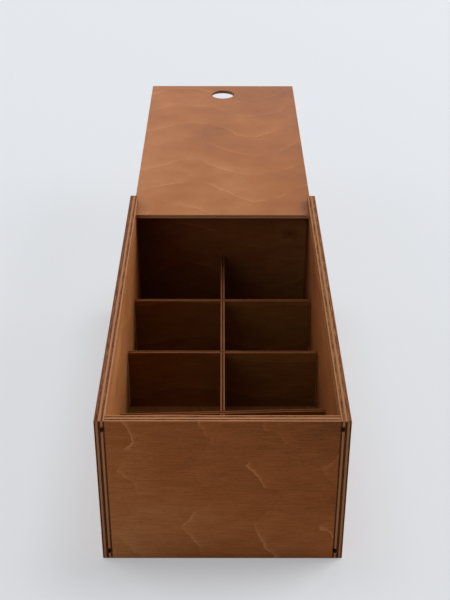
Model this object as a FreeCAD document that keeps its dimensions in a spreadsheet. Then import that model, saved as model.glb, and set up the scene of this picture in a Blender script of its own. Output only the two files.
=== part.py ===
import FreeCAD, Part
import os

import Sketcher

# A plywood storage box with a sliding lid and an egg-crate insert.
#
# Two equal sides run the full length of the box, and the front and back panels stand between
# them, glued butt to face. Each side has two grooves sawn right through from end to end in its
# inner face: the lid runs in the upper one, and the bottom panel is let into the lower one. The
# front panel stands as high as the sides and stops the lid. The back panel ends just under the
# lid, so that the lid draws out over it. Inside, one long divider and three cross dividers are
# half-lapped together and stand loose on the bottom panel.
#
# Frame: X to the right, Y from the front panel to the back panel, which is the way the lid
# opens, and Z up. The origin is under the middle of the box and its drawn-out lid, on the plane
# that the box stands on. Millimetres.

SIZES = (
    # name, value, what it measures
    ("box_width", 150.0, "over the outer faces of the two sides"),
    ("box_length", 304.0, "over the outer faces of the front and back panels"),
    ("box_height", 107.0, "from the base to the rim"),
    ("wall", 6.2, "five-ply sheet of the sides, front panel and back panel"),
    ("groove_depth", 3.0, "of every groove into its wall"),
    ("lid_thickness", 3.0, "three-ply sheet of the lid"),
    ("lid_groove_height", 3.6, "mouth of the groove that the lid runs in"),
    ("lid_groove_drop", 4.1, "from the rim down to the lid's groove"),
    ("lid_side_play", 0.3, "from each edge of the lid to the floor of its groove"),
    ("lid_lift", 0.15, "from the lower face of the groove to the underside of the lid"),
    ("lid_front_play", 0.5, "from the front panel to the front edge of the closed lid"),
    ("lid_back_inset", 0.5, "from the back end of the closed lid to the outer face of the back"),
    ("lid_engagement", 26.5, "length of the drawn-out lid that stays between the sides"),
    ("back_clearance", 0.3, "from the top of the back panel to the underside of the lid"),
    ("thumb_hole_diameter", 22.5, "of the round hole that the lid is drawn out by"),
    ("thumb_hole_setback", 24.5, "from the back end of the lid to the middle of the hole"),
    ("floor_thickness", 3.0, "three-ply sheet of the bottom panel"),
    ("floor_groove_height", 3.6, "mouth of the groove round the bottom panel"),
    ("floor_groove_rise", 4.5, "from the base up to the groove of the bottom panel"),
    ("floor_edge_play", 0.2, "from each edge of the bottom panel to the floor of its groove"),
    ("divider_thickness", 3.0, "three-ply sheet of the dividers"),
    ("divider_height", 47.5, "of all dividers"),
    ("long_divider_play", 0.5, "from each end of the long divider to its wall"),
    ("cross_divider_play", 0.5, "from each end of a cross divider to its side"),
    ("slot_play", 0.2, "from each face of a divider to the cheek of the slot that it sits in"),
    ("slot_end_play", 0.3, "between the ends of two slots that are slid into each other"),
    ("front_divider_skew", 2.5, "degrees that the front cross divider has turned in its slot"),
    ("wall_ease", 0.4, "radius of the sanded arrises of the walls"),
    ("sheet_ease", 0.25, "radius of the sanded arrises of the lid and the dividers"),
)

# The cross dividers from the front panel to the back panel, evenly spaced.
CROSS_DIVIDERS = ("cross_divider_front", "cross_divider_middle", "cross_divider_back")
BAYS = len(CROSS_DIVIDERS) + 1

# Sizes and places that follow from the sheet, as expressions that the features are bound to.
INNER_WIDTH = "(Sizes.box_width - 2 * Sizes.wall)"
INNER_LENGTH = "(Sizes.box_length - 2 * Sizes.wall)"
LET_IN = "(Sizes.groove_depth - Sizes.floor_edge_play)"
LID_GROOVE_FOOT = "(Sizes.box_height - Sizes.lid_groove_drop - Sizes.lid_groove_height)"
LID_UNDERSIDE = f"({LID_GROOVE_FOOT} + Sizes.lid_lift)"
LID_WIDTH = f"({INNER_WIDTH} + 2 * (Sizes.groove_depth - Sizes.lid_side_play))"
LID_LENGTH = "(Sizes.box_length - Sizes.wall - Sizes.lid_front_play - Sizes.lid_back_inset)"
LID_FRONT = "(Sizes.box_length - Sizes.lid_engagement)"
BACK_HEIGHT = f"({LID_UNDERSIDE} - Sizes.back_clearance)"
FLOOR_TOP = "(Sizes.floor_groove_rise + Sizes.floor_thickness)"
BAY_PITCH = f"({INNER_LENGTH} / {BAYS})"
SLOT_WIDTH = "(Sizes.divider_thickness + 2 * Sizes.slot_play)"
SLOT_DEPTH = "((Sizes.divider_height + Sizes.slot_end_play) / 2)"
LONG_DIVIDER_LENGTH = f"({INNER_LENGTH} - 2 * Sizes.long_divider_play)"
CROSS_DIVIDER_LENGTH = f"({INNER_WIDTH} - 2 * Sizes.cross_divider_play)"
FRONT_FACE = f"(-({LID_FRONT} + {LID_LENGTH}) / 2)"

NEAR = 1e-4  # how close to a plane an edge lies when it is picked


def make_sheet(doc):
    """Write the driving dimensions into the document's spreadsheet."""
    sheet = doc.addObject("Spreadsheet::Sheet", "Sizes")
    for row, (name, value, meaning) in enumerate(SIZES, start=1):
        sheet.set(f"A{row}", name)
        sheet.set(f"B{row}", str(value))
        sheet.set(f"C{row}", meaning)
        sheet.setAlias(f"B{row}", name)
    doc.recompute()
    return sheet


def make_body(doc, name, x="0", y="0", z="0", turn=0.0):
    """Add a body whose place is bound to expressions, turned about Z by a fixed angle."""
    body = doc.addObject("PartDesign::Body", name)
    body.Label = name
    body.Placement = FreeCAD.Placement(
        FreeCAD.Vector(), FreeCAD.Rotation(FreeCAD.Vector(0, 0, 1), turn)
    )
    for axis, place in (("x", x), ("y", y), ("z", z)):
        body.setExpression(f"Placement.Base.{axis}", place)
    return body


def new_sketch(body, name, plane, lift="0"):
    """Attach a sketch to one of the body's own origin planes, lifted along the plane's normal."""
    sketch = body.newObject("Sketcher::SketchObject", name)
    support = next(f for f in body.Origin.OriginFeatures if f.Role == plane)
    sketch.AttachmentSupport = [(support, "")]
    sketch.MapMode = "FlatFace"
    sketch.setExpression("AttachmentOffset.Base.z", lift)
    return sketch


def constrain(sketch, name, kind, points, expression):
    """Add a named dimension to a sketch and bind it to an expression."""
    index = sketch.addConstraint(Sketcher.Constraint(kind, *points, 1.0))
    sketch.renameConstraint(index, name)
    sketch.setExpression(f"Constraints.{name}", expression)


def rectangle(body, name, plane, width, height, across=None, up=None, lift="0"):
    """Sketch a rectangle.

    Its lower left corner stands at (across, up) of the sketch. Where across is None the
    rectangle is centred on the vertical axis, and where up is None it stands on the
    horizontal axis.
    """
    sketch = new_sketch(body, name, plane, lift)
    corners = [FreeCAD.Vector(x, y, 0) for x, y in ((1, 1), (9, 1), (9, 5), (1, 5))]
    for start, end in zip(corners, corners[1:] + corners[:1]):
        sketch.addGeometry(Part.LineSegment(start, end), False)
    for side in range(4):
        sketch.addConstraint(Sketcher.Constraint("Coincident", side, 2, (side + 1) % 4, 1))
    for kind, side in (("Vertical", 1), ("Horizontal", 2), ("Vertical", 3)):
        sketch.addConstraint(Sketcher.Constraint(kind, side))
    constrain(sketch, "width", "DistanceX", (0, 1, 0, 2), width)
    constrain(sketch, "height", "DistanceY", (1, 1, 1, 2), height)
    if across is None:
        sketch.addConstraint(Sketcher.Constraint("Symmetric", 0, 1, 0, 2, -2))
    else:
        sketch.addConstraint(Sketcher.Constraint("Horizontal", 0))
        constrain(sketch, "across", "DistanceX", (-1, 1, 0, 1), across)
    if up is None:
        sketch.addConstraint(Sketcher.Constraint("PointOnObject", 0, 1, -1))
    else:
        constrain(sketch, "up", "DistanceY", (-1, 1, 0, 1), up)
    return sketch


def pad(body, sketch, name, length, reverse=False):
    """Pad a sketch along its normal, or against it."""
    feature = body.newObject("PartDesign::Pad", name)
    feature.Profile = sketch
    feature.Reversed = reverse
    feature.setExpression("Length", length)
    return feature


def pocket(body, sketch, name, depth, reverse=False):
    """Cut a pocket against the sketch's normal, or along it."""
    feature = body.newObject("PartDesign::Pocket", name)
    feature.Profile = sketch
    feature.Reversed = reverse
    feature.setExpression("Length", depth)
    return feature


def span(edge, axis):
    """The lowest and highest coordinate of an edge along an axis, 0 to 2."""
    box = edge.BoundBox
    low = (box.XMin, box.YMin, box.ZMin)[axis]
    high = (box.XMax, box.YMax, box.ZMax)[axis]
    return low, high


def lies_on(edge, axis, place):
    """Whether an edge lies in the plane across an axis at a place."""
    low, high = span(edge, axis)
    return abs(low - place) < NEAR and abs(high - place) < NEAR


def ease(body, feature, name, radius, picked):
    """Round the edges of a feature that the function picked chooses."""
    body.Document.recompute()
    box = feature.Shape.BoundBox
    edges = [f"Edge{i}" for i, e in enumerate(feature.Shape.Edges, start=1) if picked(e, box)]
    fillet = body.newObject("PartDesign::Fillet", name)
    fillet.Base = (feature, edges)
    fillet.setExpression("Radius", radius)
    body.Tip = fillet
    return fillet


def on_rim_or_base(edge, box):
    """Edges of a wall's top and bottom faces."""
    return lies_on(edge, 2, box.ZMin) or lies_on(edge, 2, box.ZMax)


def along(edge, axis):
    """Whether an edge runs straight along an axis."""
    return all(
        abs(span(edge, other)[0] - span(edge, other)[1]) < NEAR
        for other in range(3)
        if other != axis
    )


def make_side(doc, name, x, y, turn):
    """A side, its outer face on x = 0 and its inner face, with both grooves, towards +X."""
    body = make_body(doc, name, x, y, turn=turn)
    outline = rectangle(
        body, f"{name}_outline", "YZ_Plane", "Sizes.box_length", "Sizes.box_height", "0"
    )
    board = pad(body, outline, f"{name}_board", "Sizes.wall")
    doc.recompute()
    for groove, foot, height in (
        ("lid_groove", LID_GROOVE_FOOT, "Sizes.lid_groove_height"),
        ("floor_groove", "Sizes.floor_groove_rise", "Sizes.floor_groove_height"),
    ):
        mouth = rectangle(
            body,
            f"{name}_{groove}_mouth",
            "YZ_Plane",
            "Sizes.box_length",
            height,
            across="0",
            up=foot,
            lift="Sizes.wall",
        )
        board = pocket(body, mouth, f"{name}_{groove}", "Sizes.groove_depth")
    ease(
        body,
        board,
        f"{name}_arrises",
        "Sizes.wall_ease",
        lambda edge, box: on_rim_or_base(edge, box) or (along(edge, 2) and lies_on(edge, 0, box.XMin)),
    )
    return body


def make_end_panel(doc, name, height, y, turn):
    """A panel between the sides, its outer face on y = 0 and its grooved face towards +Y."""
    body = make_body(doc, name, y=y, turn=turn)
    outline = rectangle(body, f"{name}_outline", "XZ_Plane", INNER_WIDTH, height)
    board = pad(body, outline, f"{name}_board", "Sizes.wall", reverse=True)
    mouth = rectangle(
        body,
        f"{name}_floor_groove_mouth",
        "XZ_Plane",
        INNER_WIDTH,
        "Sizes.floor_groove_height",
        up="Sizes.floor_groove_rise",
        lift="-Sizes.wall",
    )
    board = pocket(body, mouth, f"{name}_floor_groove", "Sizes.groove_depth", reverse=True)
    ease(
        body,
        board,
        f"{name}_arrises",
        "Sizes.wall_ease",
        lambda edge, box: on_rim_or_base(edge, box) and along(edge, 0),
    )
    return body


def make_bottom_panel(doc, name):
    """The bottom panel, let into the lower grooves of all four walls."""
    body = make_body(doc, name, y=f"{FRONT_FACE} + Sizes.wall - {LET_IN}", z="Sizes.floor_groove_rise")
    outline = rectangle(
        body,
        f"{name}_outline",
        "XY_Plane",
        f"{INNER_WIDTH} + 2 * {LET_IN}",
        f"{INNER_LENGTH} + 2 * {LET_IN}",
    )
    pad(body, outline, f"{name}_board", "Sizes.floor_thickness")
    return body


def make_lid(doc, name):
    """The lid, drawn out to the back, with its thumb hole near the back end."""
    body = make_body(doc, name, y=f"{FRONT_FACE} + {LID_FRONT}", z=LID_UNDERSIDE)
    outline = rectangle(body, f"{name}_outline", "XY_Plane", LID_WIDTH, LID_LENGTH)
    pad(body, outline, f"{name}_board", "Sizes.lid_thickness")
    circle = new_sketch(body, f"{name}_thumb_hole_rim", "XY_Plane", "Sizes.lid_thickness")
    circle.addGeometry(Part.Circle(FreeCAD.Vector(0, 9, 0), FreeCAD.Vector(0, 0, 1), 4), False)
    circle.addConstraint(Sketcher.Constraint("PointOnObject", 0, 3, -2))
    constrain(circle, "diameter", "Diameter", (0,), "Sizes.thumb_hole_diameter")
    constrain(
        circle, "middle", "DistanceY", (-1, 1, 0, 3), f"{LID_LENGTH} - Sizes.thumb_hole_setback"
    )
    hole = pocket(body, circle, f"{name}_thumb_hole", "Sizes.lid_thickness")
    ease(
        body,
        hole,
        f"{name}_arrises",
        "Sizes.sheet_ease",
        lambda edge, box: not edge.isClosed() or on_rim_or_base(edge, box),
    )
    return body


def make_long_divider(doc, name):
    """The long divider, slotted from above for each cross divider."""
    body = make_body(
        doc,
        name,
        x="-Sizes.divider_thickness / 2",
        y=f"{FRONT_FACE} + Sizes.wall + Sizes.long_divider_play",
        z=FLOOR_TOP,
    )
    outline = rectangle(
        body, f"{name}_outline", "YZ_Plane", LONG_DIVIDER_LENGTH, "Sizes.divider_height", "0"
    )
    pad(body, outline, f"{name}_board", "Sizes.divider_thickness")
    slot_mouth = rectangle(
        body,
        f"{name}_first_slot_outline",
        "YZ_Plane",
        SLOT_WIDTH,
        SLOT_DEPTH,
        across=f"{BAY_PITCH} - Sizes.long_divider_play - {SLOT_WIDTH} / 2",
        up=f"Sizes.divider_height - {SLOT_DEPTH}",
        lift="Sizes.divider_thickness",
    )
    slot = pocket(body, slot_mouth, f"{name}_first_slot", "Sizes.divider_thickness")
    doc.recompute()
    slots = body.newObject("PartDesign::LinearPattern", f"{name}_slots")
    slots.Originals = [slot]
    slots.Direction = (slot_mouth, ["H_Axis"])
    slots.Occurrences = len(CROSS_DIVIDERS)
    slots.setExpression("Length", f"{BAY_PITCH} * {len(CROSS_DIVIDERS) - 1}")
    body.Tip = slots
    ease(
        body,
        slots,
        f"{name}_arrises",
        "Sizes.sheet_ease",
        lambda edge, box: along(edge, 1) and lies_on(edge, 2, box.ZMax),
    )
    return body


def make_cross_divider(doc, name, place):
    """A cross divider, slotted from below, centred on the crossing that it can turn about."""
    body = make_body(doc, name, y=f"{FRONT_FACE} + Sizes.wall + {place} * {BAY_PITCH}", z=FLOOR_TOP)
    lift = "Sizes.divider_thickness / 2"
    outline = rectangle(
        body, f"{name}_outline", "XZ_Plane", CROSS_DIVIDER_LENGTH, "Sizes.divider_height", lift=lift
    )
    pad(body, outline, f"{name}_board", "Sizes.divider_thickness", reverse=True)
    slot_mouth = rectangle(
        body, f"{name}_slot_outline", "XZ_Plane", SLOT_WIDTH, SLOT_DEPTH, lift=lift
    )
    slot = pocket(body, slot_mouth, f"{name}_slot", "Sizes.divider_thickness")
    ease(
        body,
        slot,
        f"{name}_arrises",
        "Sizes.sheet_ease",
        lambda edge, box: along(edge, 0) and lies_on(edge, 2, box.ZMax),
    )
    return body


def build(doc):
    """Model every piece and return the bodies."""
    make_sheet(doc)
    back_face = f"{FRONT_FACE} + Sizes.box_length"
    bodies = [
        make_side(doc, "left_side", "-Sizes.box_width / 2", FRONT_FACE, turn=0.0),
        make_side(doc, "right_side", "Sizes.box_width / 2", back_face, turn=180.0),
        make_end_panel(doc, "front_panel", "Sizes.box_height", FRONT_FACE, turn=0.0),
        make_end_panel(doc, "back_panel", BACK_HEIGHT, back_face, turn=180.0),
        make_bottom_panel(doc, "bottom_panel"),
        make_lid(doc, "lid"),
        make_long_divider(doc, "long_divider"),
    ]
    for place, name in enumerate(CROSS_DIVIDERS, start=1):
        bodies.append(make_cross_divider(doc, name, place))
    front_divider = bodies[-len(CROSS_DIVIDERS)]
    front_divider.setExpression("Placement.Rotation.Angle", "Sizes.front_divider_skew")
    doc.recompute()
    return bodies


def check(doc, bodies):
    """Stop if any object failed to compute or any piece isn't one valid solid."""
    for item in doc.Objects:
        if "Invalid" in item.State or "Error" in item.State:
            raise RuntimeError(f"{item.Label} failed: {item.State}")
    for body in bodies:
        shape = body.Shape
        if shape.isNull() or not shape.isValid() or len(shape.Solids) != 1:
            raise RuntimeError(f"{body.Label} isn't one valid solid")


def main():
    """Build the box and write each piece to a file of its own."""
    doc = FreeCAD.newDocument("wooden_box")
    bodies = build(doc)
    check(doc, bodies)
    os.makedirs("parts", exist_ok=True)
    for body in bodies:
        body.Shape.exportStep(f"parts/{body.Label}.step")
        box = body.Shape.BoundBox
        print(
            f"{body.Label}: {box.XLength:.2f} x {box.YLength:.2f} x {box.ZLength:.2f} mm, "
            f"volume {body.Shape.Volume:.1f} mm3"
        )


main()
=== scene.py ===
"""Looks of a long storage box of stained birch plywood, with a sliding lid and an egg-crate insert.

The carcass is glued up from five-ply sheet, and the lid, the bottom panel and the dividers are
cut from three-ply sheet. Every board is built from its own plies: its saw cuts, its sanded
arrises, and the end grain that lies a little deeper than the long grain beside it. Metres, in
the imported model's frame: X to the right, Y from the front panel to the back, Z up.
"""

import logging
import math
from collections.abc import Callable
from dataclasses import dataclass
from enum import Enum, IntEnum
from functools import partial
from itertools import accumulate, product

import bpy
import numpy as np
from mathutils import Matrix, Vector


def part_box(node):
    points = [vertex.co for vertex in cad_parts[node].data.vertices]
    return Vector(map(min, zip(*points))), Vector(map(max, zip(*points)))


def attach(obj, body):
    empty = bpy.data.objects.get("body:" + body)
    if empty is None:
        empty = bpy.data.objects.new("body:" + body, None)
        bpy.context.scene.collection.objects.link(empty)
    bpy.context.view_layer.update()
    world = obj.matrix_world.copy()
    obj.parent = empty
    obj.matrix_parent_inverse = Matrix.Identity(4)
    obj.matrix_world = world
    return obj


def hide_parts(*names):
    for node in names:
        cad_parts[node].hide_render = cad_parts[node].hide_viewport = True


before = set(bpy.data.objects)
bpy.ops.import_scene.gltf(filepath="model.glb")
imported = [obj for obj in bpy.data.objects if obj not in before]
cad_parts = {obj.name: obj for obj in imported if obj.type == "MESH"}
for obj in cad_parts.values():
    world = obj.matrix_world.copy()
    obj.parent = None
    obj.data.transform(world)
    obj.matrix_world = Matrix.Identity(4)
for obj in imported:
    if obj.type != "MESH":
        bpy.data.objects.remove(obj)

LOG = logging.getLogger("plywood_box")

MM = 0.001
GRID_PITCH = 2.5 * MM  # longest side of a board's mesh cells
GLUE_LINE = 0.08 * MM  # thickness of the line between two plies
GLUE_BLUR = 0.09 * MM  # how far its colour runs to either side
ARC_SHARES = (0.0, 0.586, 1.0)  # stations that divide a quarter round evenly
ARC_TURNS = tuple(math.radians(a) for a in (0, 22.5, 45, 67.5, 90))
ARRIS_MARGIN = 0.15 * MM  # flat strip beside an arris that keeps the face's shading flat
STEEP = 0.35  # a ring of a hole is its wall if it drops by more than this share of the arris
DENT_STEPS = 4  # mesh cells from the middle of a bruise to its rim
SHARP_ANGLE = math.radians(38)
NEAR = 1e-7
SAME_PLANE = 2e-6
FACE_ON = 0.5  # marks a cut that lies flat in the sheet, neither along the grain nor across it

# Attributes that every board carries.
BOARD = "board_mm"  # along the grain, across it, and through the plies, from the board's middle
CUT = "cut"  # per face: x is 1 on a cut, y how squarely it crosses the face grain, z 1 in a bored hole
SAWN = "sawn"  # per point: x on a saw cut, y on end grain, z near the top of an arris, or < 0 in a bruise, where it sets the painted shade

# Kinds of nodes that the trees use often.
MATH, VECTOR_MATH, NOISE = "ShaderNodeMath", "ShaderNodeVectorMath", "ShaderNodeTexNoise"
RAMP, RANGE, MIX = "ShaderNodeValToRGB", "ShaderNodeMapRange", "ShaderNodeMix"
SPLIT, JOIN, READ = "ShaderNodeSeparateXYZ", "ShaderNodeCombineXYZ", "GeometryNodeInputNamedAttribute"
SURFACE, STORE = "ShaderNodeBsdfPrincipled", "GeometryNodeStoreNamedAttribute"

# Their setting that is given as a node's mode.
MODES = {MATH: "operation", VECTOR_MATH: "operation", RANGE: "interpolation_type"}
MODES |= dict.fromkeys((MIX, READ, STORE), "data_type")

Socket = bpy.types.NodeSocket
Adder = Callable[..., Socket]  # add_node, bound to one tree
Stops = tuple[tuple[float, float], ...]  # places on a ramp, and the values there
Skin = tuple[np.ndarray, np.ndarray, np.ndarray]  # points, faces of four of them, and their cut attribute


def linear(code: str) -> tuple[float, float, float, float]:
    """Turn an sRGB hex colour into linear red, green, blue and alpha.

    Args:
        code: The colour as "#RRGGBB".

    Returns:
        The linear colour with an alpha of 1.
    """
    parts = [int(code[i : i + 2], 16) / 255 for i in (1, 3, 5)]
    red, green, blue = (p / 12.92 if p <= 0.04045 else ((p + 0.055) / 1.055) ** 2.4 for p in parts)
    return red, green, blue, 1.0


def add_node(
    tree: bpy.types.NodeTree,
    kind: str,
    inputs: dict | tuple = (),
    mode: str = "",
    output: int | str = 0,
    **settings: object,
) -> Socket | None:
    """Add a node with its settings, and set or link its inputs.

    Args:
        tree: The shader or geometry tree.
        kind: The node's type name.
        inputs: Values, or the outputs to link, in the order of the sockets or under their names.
        mode: The setting that MODES names.
        output: The output that is wanted.
        **settings: Other settings. stops gives a colour ramp's places and their colours or
            greys, and blend how it runs between them.

    Returns:
        That output, or None if the node has no outputs.
    """
    node = tree.nodes.new(kind)
    stops, blend = settings.pop("stops", ()), settings.pop("blend", "LINEAR")
    if mode:
        settings[MODES[kind]] = mode
    for key, value in settings.items():
        setattr(node, key, value)
    if stops:
        ramp = node.color_ramp
        while len(ramp.elements) < len(stops):
            ramp.elements.new(1.0)
        for element, (place, colour) in zip(ramp.elements, stops):
            element.position = place
            element.color = colour if isinstance(colour, tuple) else (colour, colour, colour, 1.0)
        ramp.interpolation = blend
    for key, value in inputs.items() if isinstance(inputs, dict) else enumerate(inputs):
        if isinstance(value, Socket):
            tree.links.new(value, node.inputs[key])
        else:
            node.inputs[key].default_value = value
    return node.outputs[output] if node.outputs else None


def blank_tree(owner: bpy.types.Material | bpy.types.World) -> Adder:
    """Empty the tree of a material or a world.

    Args:
        owner: The material or the world.

    Returns:
        What adds a node to its tree.
    """
    owner.use_nodes = True
    owner.node_tree.nodes.clear()
    return partial(add_node, owner.node_tree)


def put(name: str, data: bpy.types.ID) -> bpy.types.Object:
    """Put a mesh, lamp or camera in the scene.

    Args:
        name: Name of its object.
        data: The mesh, lamp or camera.

    Returns:
        The object.
    """
    thing = bpy.data.objects.new(name, data)
    bpy.context.scene.collection.objects.link(thing)
    return thing


class Axis(IntEnum):
    """An axis of the shared frame."""

    X = 0
    Y = 1
    Z = 2


# Radii of the four arrises along each axis, in the order low-low, high-low, low-high, high-high
# of the next two axes.
Arrises = dict[Axis, tuple[float, float, float, float]]


class FigureRun(Enum):
    """Which way the growth lines of a face veneer mostly run."""

    WITH_GRAIN = "with"
    ACROSS_GRAIN = "across"


class Swing(Enum):
    """How a growth line turns at the end of each swing."""

    ROUNDED = "rounded"
    POINTED = "pointed"


@dataclass(frozen=True)
class Plies:
    """The veneers of a sheet, whose grain turns a right angle from each one to the next."""

    shares: tuple[float, ...]  # of the thickness, from face to face

    def glue_lines(self) -> list[float]:
        """Where the glue lines lie, as shares of the thickness."""
        return list(accumulate(self.shares))[:-1]


FIVE_PLY = Plies((0.16, 0.227, 0.226, 0.227, 0.16))
THREE_PLY = Plies((0.3, 0.4, 0.3))


@dataclass(frozen=True)
class Block:
    """A straight-sided space that a saw has left in a board."""

    low: Vector
    high: Vector

    def holds(self, middles: list[np.ndarray]) -> np.ndarray:
        """A mask of the cells in it, whose middles are given along each axis."""
        x, y, z = ((m > self.low[n]) & (m < self.high[n]) for n, m in enumerate(middles))
        return x[:, None, None] & y[None, :, None] & z[None, None, :]


@dataclass(frozen=True)
class Hole:
    """A round hole through a flat-lying board, and the square patch of mesh round it."""

    middle: Vector
    radius: float
    arris: float  # radius of its sanded rims
    patch: float = 17.5 * MM  # half the side of the square that is meshed in rings
    rings: int = 3  # rings of faces between the square and the rim


@dataclass(frozen=True)
class Dent:
    """A small bruise in an arris."""

    middle: Vector
    reach: float
    depth: float


@dataclass
class Board:
    """One board, meshed cell by cell from its own saw cuts and plies."""

    low: Vector
    high: Vector
    faces: Axis  # across the sheet
    grain: Axis  # along the grain of the face plies
    plies: Plies
    arrises: Arrises
    cuts: tuple[Block, ...] = ()  # grooves and slots
    hole: Hole | None = None
    dents: tuple[Dent, ...] = ()

    @property
    def thickness(self) -> float:
        """Thickness of the sheet."""
        return self.high[self.faces] - self.low[self.faces]

    def stations(self, axis: Axis) -> np.ndarray:
        """Where the mesh's grid planes stand along an axis.

        Args:
            axis: The axis that the planes cross.

        Returns:
            Their places, in rising order.
        """
        low, high = self.low[axis], self.high[axis]
        marks = [low, high]
        for radius in {r for along, four in self.arrises.items() if along is not axis for r in four}:
            for reach in (*(share * radius for share in ARC_SHARES), radius + ARRIS_MARGIN):
                marks += [low + reach, high - reach]
        for cut in self.cuts:
            marks += [cut.low[axis], cut.high[axis]]
        if axis is self.faces:
            for line in self.plies.glue_lines():
                middle = low + line * (high - low)
                marks += [middle - GLUE_LINE / 2, middle + GLUE_LINE / 2]
        elif self.hole:
            marks += [self.hole.middle[axis] + self.hole.patch * s for s in (-1, 0, 1)]
        for dent in self.dents:
            steps = range(-DENT_STEPS, DENT_STEPS + 1)
            marks += [dent.middle[axis] + dent.reach * s / DENT_STEPS for s in steps]
        marks = sorted(m for m in marks if low - NEAR <= m <= high + NEAR)
        kept = [marks[0]] + [b for a, b in zip(marks, marks[1:]) if b - a > SAME_PLANE]
        fine = [kept[0]]
        for start, end in zip(kept, kept[1:]):
            fine += list(np.linspace(start, end, 1 + math.ceil((end - start) / GRID_PITCH - NEAR)))[1:]
        return np.array(fine)

    def skin(self) -> Skin:
        """Cut the board out of its grid of cells and take the faces round it.

        Returns:
            The square-edged board.
        """
        planes = [self.stations(axis) for axis in Axis]
        middles = [(p[1:] + p[:-1]) / 2 for p in planes]
        solid = np.ones([len(m) for m in middles], bool)
        for cut in self.cuts:
            solid &= ~cut.holds(middles)
        window = np.zeros_like(solid)
        if self.hole:
            reach = Vector((self.hole.patch, self.hole.patch, 1.0))
            window = Block(self.hole.middle - reach, self.hole.middle + reach).holds(middles)
        counts = [len(p) for p in planes]
        number = np.arange(math.prod(counts)).reshape(counts)
        points = [np.stack(np.meshgrid(*planes, indexing="ij"), axis=-1).reshape(-1, 3)]
        quads, kinds, padded = [], [], np.pad(solid, 1)
        for axis in Axis:
            b, c = (axis + 1) % 3, (axis + 2) % 3
            squarely = 1.0 if axis is self.grain else FACE_ON if axis is self.faces else 0.0
            for side in (0, 1):
                beyond = np.roll(padded, 1 - 2 * side, axis)[1:-1, 1:-1, 1:-1]
                bare = np.argwhere(solid & ~beyond & ~window)
                corners = []
                for step_b, step_c in ((0, 0), (1, 0), (1, 1), (0, 1)):
                    index = bare.copy()
                    index[:, [axis, b, c]] += side, step_b, step_c
                    corners.append(number[tuple(index.T)])
                quads.append(np.stack(corners if side else corners[::-1], axis=1))
                edge = planes[axis][bare[:, axis] + side]
                inside = (edge > self.low[axis] + NEAR) & (edge < self.high[axis] - NEAR)
                cut = inside | (axis is not self.faces)
                kinds.append(np.column_stack([cut, np.full(len(bare), squarely), np.zeros(len(bare))]))
        if self.hole:
            for rows, more in zip((points, quads, kinds), self.pierce(planes, number)):
                rows.append(more)
        used, faces = np.unique(np.concatenate(quads), return_inverse=True)
        return np.concatenate(points)[used], faces.reshape(-1, 4), np.concatenate(kinds)

    def pierce(self, planes: list[np.ndarray], number: np.ndarray) -> Skin:
        """Fill the square window in a board with rings of faces round its hole.

        Args:
            planes: Grid planes along each axis.
            number: Point numbers over the grid.

        Returns:
            The rings, whose points are numbered on from the grid's.
        """
        hole = self.hole
        spans = [np.flatnonzero(np.abs(planes[n] - hole.middle[n]) <= hole.patch + NEAR) for n in (0, 1)]
        (i0, i1), (j0, j1) = ((s[0], s[-1]) for s in spans)
        loop = [(i, j0) for i in range(i0, i1)] + [(i1, j) for j in range(j0, j1)]
        loop += [(i, j1) for i in range(i1, i0, -1)] + [(i0, j) for j in range(j1, j0, -1)]
        top, foot, centre = self.high.z, self.low.z, np.array(hole.middle[:2])
        outer = np.array([(planes[0][i], planes[1][j]) for i, j in loop]) - centre
        turn = np.arctan2(outer[:, 1], outer[:, 0])
        ray = np.stack([np.cos(turn), np.sin(turn)], axis=1)
        mouth = hole.radius + hole.arris
        rim = mouth + ARRIS_MARGIN
        shares = [k / hole.rings for k in range(1, hole.rings + 1)]
        bend = [(mouth - hole.arris * math.sin(a), hole.arris * (1 - math.cos(a))) for a in ARC_TURNS]
        profile = [(share, rim, top) for share in shares]
        profile += [(1.0, radius, top - drop) for radius, drop in bend]
        profile += [
            (1.0, hole.radius, z)
            for z in planes[2][::-1]
            if foot + hole.arris + NEAR < z < top - hole.arris - NEAR
        ]
        profile += [(1.0, radius, foot + drop) for radius, drop in reversed(bend)]
        profile += [(share, rim, foot) for share in reversed(shares)]
        points = [
            np.column_stack([outer * (1 - share) + ray * radius * share + centre, [height] * len(loop)])
            for share, radius, height in profile
        ]
        rows = [np.array([number[i, j, -1] for i, j in loop])]
        rows += [number.size + k * len(loop) + np.arange(len(loop)) for k in range(len(profile))]
        rows.append(np.array([number[i, j, 0] for i, j in loop]))
        quads = [np.stack([a, np.roll(a, -1), np.roll(b, -1), b], axis=1) for a, b in zip(rows, rows[1:])]
        heights = [top, *(height for *_, height in profile), foot]
        bored = [float(a - b > hole.arris * STEEP) for a, b in zip(heights, heights[1:])]
        grain = ray[:, self.grain] ** 2
        kinds = [np.column_stack([[b] * len(loop), grain, [b] * len(loop)]) for b in bored]
        return np.concatenate(points), np.concatenate(quads), np.concatenate(kinds)

    def ease(self, points: np.ndarray) -> tuple[np.ndarray, np.ndarray]:
        """Round the arrises by moving the points near them.

        Args:
            points: Points of the square-edged board.

        Returns:
            The moved points, and how near each one is to the top of an arris, 0 to 1.
        """
        points, crest = points.copy(), np.zeros(len(points))
        for along, four in self.arrises.items():
            for (c, b), radius in zip(product((-1, 1), repeat=2), four):
                ways = (((along + 1) % 3, b), ((along + 2) % 3, c))
                sides = [(n, (self.high if way > 0 else self.low)[n], way) for n, way in ways]
                past = [(points[:, n] - end) * way + radius for n, end, way in sides]
                near = (past[0] > NEAR) & (past[1] > NEAR)
                pull = np.maximum(*past)[near] / np.hypot(*past)[near]
                for (n, end, way), reach in zip(sides, past):
                    points[near, n] = end - way * radius + way * reach[near] * pull
                crest[near] = np.maximum(crest[near], np.minimum(*past)[near] / radius)
        return points, crest

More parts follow.
